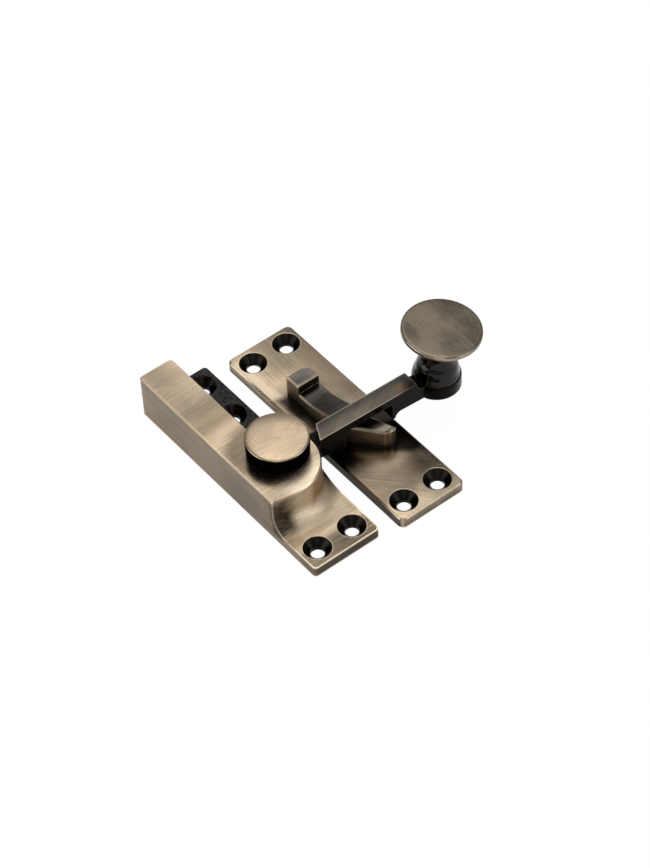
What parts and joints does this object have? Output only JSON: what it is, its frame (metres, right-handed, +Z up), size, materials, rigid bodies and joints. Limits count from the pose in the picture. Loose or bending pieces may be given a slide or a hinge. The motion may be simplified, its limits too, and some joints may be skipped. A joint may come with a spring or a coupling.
{
  "type": "quadrant fastener",
  "caption": "Sash window fastener: a raised cast body whose knobbed arm swings a quarter turn across a separate screw-on keep with a curved rib.",
  "frame": {"origin": "under the body plate, midway between its two front screw holes", "axes": "+X along both plates towards the body's front end, +Y from the body to the keep, +Z up off the sash"},
  "size_m": [0.0719, 0.0704, 0.027],
  "materials": {
    "antique_brass": "brushed and relieved",
    "dark_brass": "polished, blackened",
    "washer_steel": "satin"
  },
  "bodies": {
    "fastener_body": {"body_casting": "antique_brass", "pivot_pin": "antique_brass", "spring_washer": "washer_steel", "pin_washer": "washer_steel", "keep_plate": "antique_brass"},
    "arm": {"swing_arm": "dark_brass", "knob": "dark_brass"}
  },
  "joints": [
    {"name": "arm_swing", "type": "hinge", "parent": "fastener_body", "child": "arm", "pos_m": [-0.0233, 0.0015, 0.009], "axis": [0, 0, 1], "range_deg": [0, 92]}
  ]
}
